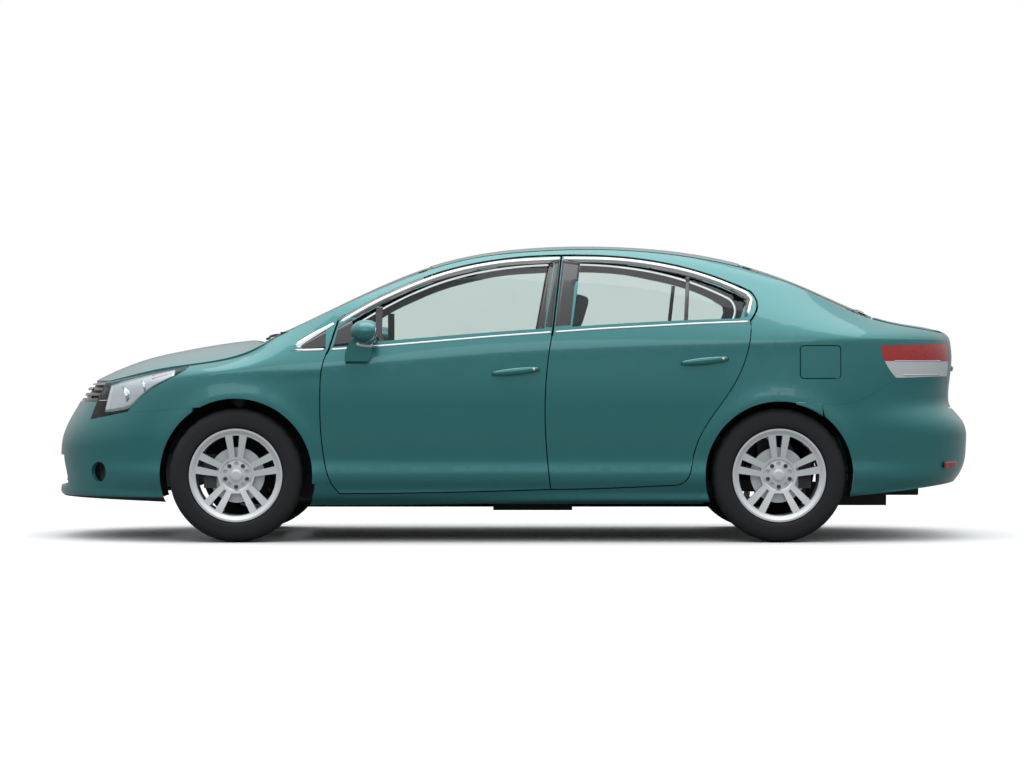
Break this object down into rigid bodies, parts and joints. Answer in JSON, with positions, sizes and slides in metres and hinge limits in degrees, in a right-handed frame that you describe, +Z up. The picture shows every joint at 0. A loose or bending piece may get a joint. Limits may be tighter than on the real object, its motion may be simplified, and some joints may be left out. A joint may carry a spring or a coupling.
{
  "type": "sedan car",
  "caption": "Compact four-door saloon car with opening doors, hood, boot lid and fuel flap, steering and turning alloy wheels, and a full cabin.",
  "frame": {"origin": "on the ground, in the middle of the overall length and width", "axes": "+X towards the tail, +Y towards the car's right side, +Z up"},
  "size_m": [4.6971, 2.048, 1.505],
  "materials": {
    "paint": "metallic clear coat",
    "window_glass": "tinted",
    "lamp_clear": "clear",
    "lamp_red": "gloss",
    "grille_plastic": "gloss",
    "black_plastic": "grained",
    "floor_steel": "satin",
    "dash_plastic": "grained",
    "seat_fabric": "woven",
    "engine_metal": "cast",
    "chassis_steel": "dark",
    "exhaust_steel": "satin",
    "tank_plastic": "satin",
    "wheel_leather": "stitched",
    "knuckle_iron": "cast",
    "alloy": "painted silver",
    "tyre_rubber": "matt"
  },
  "bodies": {
    "body": {"body_sides": "paint", "front_fenders": "paint", "floor_pan": "floor_steel", "front_bumper": "paint", "rear_bumper": "paint", "grille": "grille_plastic", "headlamps": "lamp_clear", "tail_lamps": "lamp_red", "cowl": "black_plastic", "windscreen": "window_glass", "rear_window": "window_glass", "roof_panel": "paint", "wheel_liners": "black_plastic", "dashboard": "dash_plastic", "front_seats": "seat_fabric", "rear_seat": "seat_fabric", "engine_block": "engine_metal", "front_suspension": "chassis_steel", "rear_suspension": "chassis_steel", "exhaust": "exhaust_steel", "fuel_tank": "tank_plastic"},
    "hood_body": {"hood": "paint"},
    "boot_lid_body": {"boot_lid": "paint"},
    "fuel_flap_body": {"fuel_flap": "paint"},
    "front_door_left": {"door_front_left": "paint", "glass_front_left": "window_glass", "mirror_left": "paint"},
    "front_door_right": {"door_front_right": "paint", "glass_front_right": "window_glass", "mirror_right": "paint"},
    "rear_door_left": {"door_rear_left": "paint", "glass_rear_left": "window_glass"},
    "rear_door_right": {"door_rear_right": "paint", "glass_rear_right": "window_glass"},
    "steering_wheel_body": {"steering_wheel": "wheel_leather"},
    "steer_left_body": {"knuckle_left": "knuckle_iron"},
    "steer_right_body": {"knuckle_right": "knuckle_iron"},
    "road_wheel_front_left": {"wheel_front_left": "alloy", "tyre_front_left": "tyre_rubber"},
    "road_wheel_front_right": {"wheel_front_right": "alloy", "tyre_front_right": "tyre_rubber"},
    "road_wheel_rear_left": {"wheel_rear_left": "alloy", "tyre_rear_left": "tyre_rubber"},
    "road_wheel_rear_right": {"wheel_rear_right": "alloy", "tyre_rear_right": "tyre_rubber"}
  },
  "joints": [
    {"name": "front_door_left_hinge", "type": "hinge", "parent": "body", "child": "front_door_left", "pos_m": [-0.893, -0.896, 0.6], "axis": [0, 0, -1], "range_deg": [0, 65]},
    {"name": "front_door_right_hinge", "type": "hinge", "parent": "body", "child": "front_door_right", "pos_m": [-0.893, 0.896, 0.6], "axis": [0, 0, 1], "range_deg": [0, 65]},
    {"name": "rear_door_left_hinge", "type": "hinge", "parent": "body", "child": "rear_door_left", "pos_m": [0.232, -0.903, 0.6], "axis": [0, 0, -1], "range_deg": [0, 65]},
    {"name": "rear_door_right_hinge", "type": "hinge", "parent": "body", "child": "rear_door_right", "pos_m": [0.232, 0.903, 0.6], "axis": [0, 0, 1], "range_deg": [0, 65]},
    {"name": "hood_hinge", "type": "hinge", "parent": "body", "child": "hood_body", "pos_m": [-1.225, 0, 0.995], "axis": [0, 1, 0], "range_deg": [0, 50]},
    {"name": "boot_lid_hinge", "type": "hinge", "parent": "body", "child": "boot_lid_body", "pos_m": [1.818, 0, 1.115], "axis": [0, -1, 0], "range_deg": [0, 75]},
    {"name": "fuel_flap_hinge", "type": "hinge", "parent": "body", "child": "fuel_flap_body", "pos_m": [1.441, -0.893, 0.897], "axis": [0, 0, -1], "range_deg": [0, 95]},
    {"name": "steer_left", "type": "hinge", "parent": "body", "child": "steer_left_body", "pos_m": [-1.3725, -0.7, 0.334], "axis": [0, 0, 1], "range_deg": [-35, 35]},
    {"name": "steer_right", "type": "hinge", "parent": "body", "child": "steer_right_body", "pos_m": [-1.3725, 0.7, 0.334], "axis": [0, 0, 1], "range_deg": [-35, 35]},
    {"name": "steering_wheel_turn", "type": "hinge", "parent": "body", "child": "steering_wheel_body", "pos_m": [-0.612, -0.37, 0.88], "axis": [0.9135, 0, 0.4067], "range_deg": [-540, 540]},
    {"name": "wheel_front_left_spin", "type": "hinge", "parent": "steer_left_body", "child": "road_wheel_front_left", "pos_m": [-1.3725, -0.775, 0.334], "axis": [0, 1, 0], "continuous": true},
    {"name": "wheel_front_right_spin", "type": "hinge", "parent": "steer_right_body", "child": "road_wheel_front_right", "pos_m": [-1.3725, 0.775, 0.334], "axis": [0, 1, 0], "continuous": true},
    {"name": "wheel_rear_left_spin", "type": "hinge", "parent": "body", "child": "road_wheel_rear_left", "pos_m": [1.3275, -0.775, 0.334], "axis": [0, 1, 0], "continuous": true},
    {"name": "wheel_rear_right_spin", "type": "hinge", "parent": "body", "child": "road_wheel_rear_right", "pos_m": [1.3275, 0.775, 0.334], "axis": [0, 1, 0], "continuous": true}
  ],
  "couplings": [
    {"joint": "steer_right", "follows": "steer_left", "ratio": 1},
    {"joint": "steering_wheel_turn", "follows": "steer_left", "ratio": 15}
  ]
}
